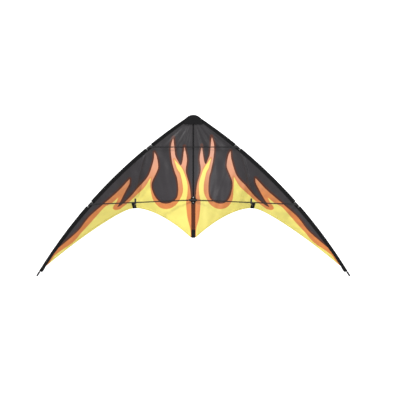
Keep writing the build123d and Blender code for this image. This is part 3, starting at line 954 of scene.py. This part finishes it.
def nose_pocket():
    """A webbing pocket behind the nose that holds the spine's top end."""
    low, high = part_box("nose_pocket")
    half, z_low, z_high = high[0] / MM - 0.3, low[2] / MM, high[2] / MM - 0.5
    verts = []
    turns = np.radians(np.linspace(180, 0, 17))
    section = [(-half, POCKET_FRONT), (-half + 1.4, POCKET_FRONT)]
    section += [(POCKET_R * math.cos(a), POCKET_MIDDLE + POCKET_R * math.sin(a) * 0.98) for a in turns]
    section += [(half - 1.4, POCKET_FRONT), (half, POCKET_FRONT)]
    for z in np.linspace(z_low, z_high, 40):
        squeeze = smooth_step(z, z_high - 14, z_high)
        for x, y in section:
            verts.append((x * MM, (y - (y - POCKET_FRONT) * 0.75 * squeeze) * MM, z * MM))
    faces = grid_faces(40, len(section), flip=True)
    pocket = new_object("nose_pocket_webbing", verts, faces, WEBBING)
    thicken(pocket, 0.9)
    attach(pocket, "spine")
    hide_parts("nose_pocket")


def tail_strap():
    """The strap from the front of the tail, under the spine's end and up behind it."""
    front, rear, base, top, bend = 8.3, 20.1, -174.8, -146.4, 3.0
    path = [(front, base + 0.2), (rear - bend, base)]
    for angle in np.linspace(-90, 0, 9)[1:]:
        turn = math.radians(angle)
        path.append((rear - bend + bend * math.cos(turn), base + bend + bend * math.sin(turn)))
    path += [(rear, z) for z in np.linspace(base + bend, top, 16)[1:]]
    across = np.linspace(-STRAP_HALF, STRAP_HALF, 9)
    verts = [(x * MM, y * MM, z * MM) for y, z in path for x in across]
    strap = new_object("tail_strap_webbing", verts, grid_faces(len(path), 9), WEBBING)
    thicken(strap, 1.0)
    bevel_edges(strap, 0.3)
    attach(strap, "tail_strap")
    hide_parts("tail_strap")


def hub_tacks():
    """White bar tacks through the patches and the tape, above and below the hub."""
    for label, middle, rows in (("upper", 11.6, 7), ("lower", -11.0, 5)):
        heights = middle + TACK_STEP * (np.arange(rows + 1) - rows / 2)
        across = TACK_HALF * (-1.0) ** np.arange(rows + 1)
        line = np.stack([across, np.full(rows + 1, SPAR_Y - 1.27), heights], -1) * MM
        up = np.tile([0.0, -1.0, 0.0], (rows + 1, 1))
        row = math.hypot(2 * TACK_HALF, TACK_STEP)
        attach(stitch_row(f"hub_{label}_tack", line, up, THREAD_WHITE, row, row - 0.2, 0.9, 0.5), "spine")


# ---------------------------------------------------------------- frame pieces from CAD


def dress_cad_nodes():
    """Materials for the CAD nodes that stay as they are."""
    by_slot = {
        "rod": ROD,
        "vinyl": VINYL,
        "clip": CLIP,
        "ferrule": METAL,
        "webbing": WEBBING,
        "hem": HEM,
        "sail": SAIL,
    }
    for sub in frame["record"]["subparts"]:
        thing = NODES[sub["node"]]
        material = by_slot[sub["material_slot"]]
        for holder in thing.material_slots:
            holder.material = material
        if not thing.material_slots:
            thing.data.materials.append(material)


# ---------------------------------------------------------------- stage


def stage():
    """White floor and surround that only the camera sees, soft light, and the camera."""
    material, _, shader = new_material("studio_white", (0.9, 0.9, 0.9), 0.9)
    shader.inputs["Emission Color"].default_value = (1, 1, 1, 1)
    shader.inputs["Emission Strength"].default_value = 1.0
    floor_z, radius = -1.1, 14.0
    bpy.ops.mesh.primitive_circle_add(vertices=64, radius=radius, fill_type="NGON", location=(0, 0, floor_z))
    floor = bpy.context.object
    bpy.ops.mesh.primitive_uv_sphere_add(segments=48, ring_count=24, radius=radius)
    surround = bpy.context.object
    for thing, name in ((floor, "floor"), (surround, "surround")):
        thing.name = name
        thing.data.materials.append(material)
        thing.visible_diffuse = False
        thing.visible_glossy = False
        thing.visible_shadow = False

    world = bpy.data.worlds.new("studio")
    bpy.context.scene.world = world
    world.use_nodes = True
    world.node_tree.nodes["Background"].inputs["Color"].default_value = (1, 1, 1, 1)
    world.node_tree.nodes["Background"].inputs["Strength"].default_value = WORLD_LIGHT
    for name, place_at, energy, size in LIGHTS:
        light = bpy.data.lights.new(name, "AREA")
        light.energy = energy
        light.size = size
        lamp = bpy.data.objects.new(name, light)
        lamp.location = place_at
        lamp.rotation_euler = (-Vector(place_at)).to_track_quat("-Z", "Y").to_euler()
        bpy.context.scene.collection.objects.link(lamp)

    camera = bpy.data.cameras.new("camera")
    camera.lens = 85
    camera.sensor_width = 36
    eye = bpy.data.objects.new("camera", camera)
    eye.location = (0.031, -4.355, 0.0)
    eye.rotation_euler = (math.radians(90), 0, 0)
    bpy.context.scene.collection.objects.link(eye)
    bpy.context.scene.camera = eye
    bpy.context.scene.view_settings.view_transform = "Standard"


dress_cad_nodes()
for side_name, side_sign in SIDES.items():
    sail_half(side_name, side_sign)
    hem(side_name, side_sign)
    sleeve(side_name, side_sign)
    nose_cover(side_name, side_sign)
    centre_webbing(side_name, side_sign)
    standoff_patches(side_name, side_sign)
nose_pocket()
tail_strap()
hub_tacks()
stage()
